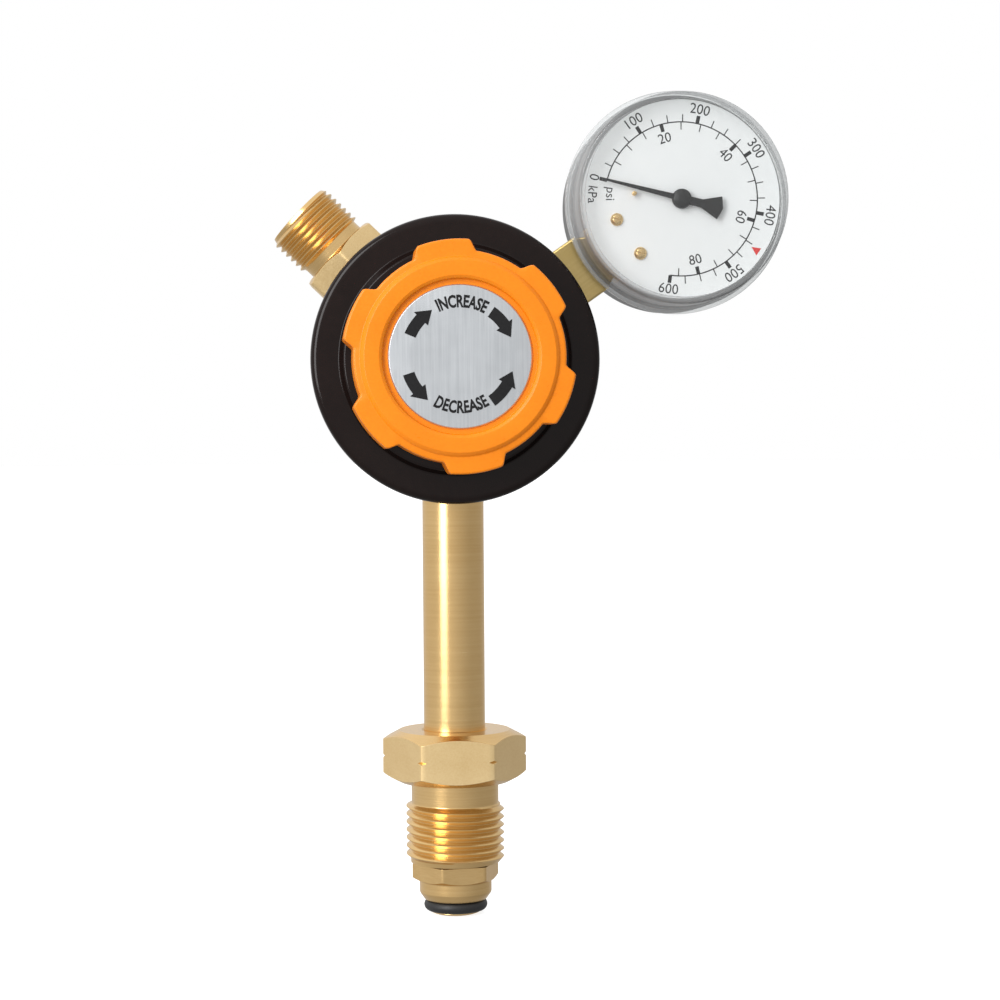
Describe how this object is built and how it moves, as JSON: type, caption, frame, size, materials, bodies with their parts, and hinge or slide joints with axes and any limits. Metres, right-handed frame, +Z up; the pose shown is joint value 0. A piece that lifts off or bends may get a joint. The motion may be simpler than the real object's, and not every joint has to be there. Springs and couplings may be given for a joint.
{
  "type": "gas cylinder pressure regulator",
  "caption": "Gas cylinder pressure regulator with a lobed orange hand knob, a round pressure gauge, a threaded outlet, and a long inlet stem with a loose nut and bull nose.",
  "frame": {"origin": "on the inlet stem's axis, at the lower end of the inlet nut's full thread", "axes": "+X right and +Y away from the hand knob when the knob faces the viewer, +Z up along the inlet stem towards the body; the knob axis is along Y"},
  "size_m": [0.1153, 0.0561, 0.1864],
  "materials": {
    "forged_brass": "forged and satin machined",
    "turned_brass": "fine turned",
    "movement_brass": "stamped, satin",
    "black_enamel": "gloss paint",
    "case_black": "semi-gloss paint",
    "orange_plastic": "moulded gloss",
    "label_foil": "brushed",
    "clear_plastic": "clear moulded window",
    "dial_white": "satin white print",
    "pointer_black": "matt black",
    "black_rubber": "smooth",
    "diaphragm_rubber": "cloth-backed",
    "zinc_steel": "zinc plated",
    "spring_steel": "oiled wire",
    "nylon": "natural",
    "sintered_bronze": "porous",
    "bourdon_bronze": "drawn tube"
  },
  "bodies": {
    "regulator": {"regulator_body": "forged_brass", "inlet_stem": "turned_brass", "inlet_nipple": "turned_brass", "nose_o_ring": "black_rubber", "inlet_filter": "sintered_bronze", "outlet_fitting": "turned_brass", "back_cap": "turned_brass", "back_cap_o_ring": "black_rubber", "seat_nozzle": "turned_brass", "poppet_spring": "spring_steel", "diaphragm": "diaphragm_rubber", "slip_ring": "nylon", "bonnet": "black_enamel", "spindle_bush": "turned_brass", "thrust_washer": "nylon", "range_spring": "spring_steel", "gauge_socket": "turned_brass", "gauge_case": "case_black", "case_screws": "zinc_steel", "blow_out_plug": "black_rubber", "lens_gasket": "black_rubber", "gauge_lens": "clear_plastic", "gauge_dial": "dial_white", "dial_posts": "movement_brass", "dial_screws": "movement_brass", "pointer_stop_pin": "movement_brass", "movement_back_plate": "movement_brass", "movement_front_plate": "movement_brass", "movement_pillars": "movement_brass", "movement_screws": "zinc_steel", "hairspring": "bourdon_bronze", "bourdon_tube": "bourdon_bronze"},
    "hand_knob": {"knob": "orange_plastic", "knob_insert": "turned_brass", "knob_screw": "zinc_steel", "label_disc": "label_foil", "spindle": "zinc_steel"},
    "follower": {"spring_follower": "zinc_steel"},
    "valve": {"diaphragm_plate": "zinc_steel", "diaphragm_boss": "turned_brass", "valve_pin": "zinc_steel", "poppet": "turned_brass", "poppet_seat_disc": "nylon"},
    "nut": {"inlet_nut": "turned_brass"},
    "pointer_shaft": {"pinion_arbor": "movement_brass", "pointer": "pointer_black"},
    "sector": {"sector_gear": "movement_brass"},
    "tube_tip": {"bourdon_tip": "movement_brass"},
    "tip_link": {"gauge_link": "movement_brass"}
  },
  "joints": [
    {"name": "knob_turn", "type": "hinge", "parent": "regulator", "child": "hand_knob", "pos_m": [0, -0.03, 0.1133], "axis": [0, 1, 0], "range_deg": [0, 1260]},
    {"name": "follower_advance", "type": "slide", "parent": "regulator", "child": "follower", "axis": [0, 1, 0], "range_m": [0, 0.00438], "deforming": ["range_spring"]},
    {"name": "valve_lift", "type": "slide", "parent": "regulator", "child": "valve", "axis": [0, 1, 0], "range_m": [0, 0.0008], "stiffness_N_per_m": 800, "springref_m": -0.002, "deforming": ["poppet_spring", "diaphragm"]},
    {"name": "inlet_nut_spin", "type": "hinge", "parent": "regulator", "child": "nut", "pos_m": [0, 0, 0.02], "axis": [0, 0, 1], "continuous": true},
    {"name": "pointer_turn", "type": "hinge", "parent": "regulator", "child": "pointer_shaft", "pos_m": [0.0503, -0.012, 0.14852], "axis": [0, 1, 0], "range_deg": [0, 264.5], "deforming": ["hairspring"]},
    {"name": "sector_turn", "type": "hinge", "parent": "regulator", "child": "sector", "pos_m": [0.04312, -0.009, 0.14349], "axis": [0, 1, 0], "range_deg": [-44.08, 0]},
    {"name": "tube_tip_shift", "type": "slide", "parent": "regulator", "child": "tube_tip", "axis": [0.8746, 0, 0.4848], "range_m": [0, 0.00236], "stiffness_N_per_m": 20, "deforming": ["bourdon_tube"]},
    {"name": "link_turn", "type": "hinge", "parent": "tube_tip", "child": "tip_link", "pos_m": [0.04947, -0.0095, 0.1339], "axis": [0, 1, 0], "range_deg": [0, 4.64]}
  ],
  "couplings": [
    {"joint": "follower_advance", "follows": "knob_turn", "m_per_rad": 0.00019892},
    {"joint": "pointer_turn", "follows": "tube_tip_shift", "rad_per_m": 1955.9},
    {"joint": "sector_turn", "follows": "tube_tip_shift", "rad_per_m": -325.98},
    {"joint": "link_turn", "follows": "tube_tip_shift", "rad_per_m": 34.311}
  ]
}
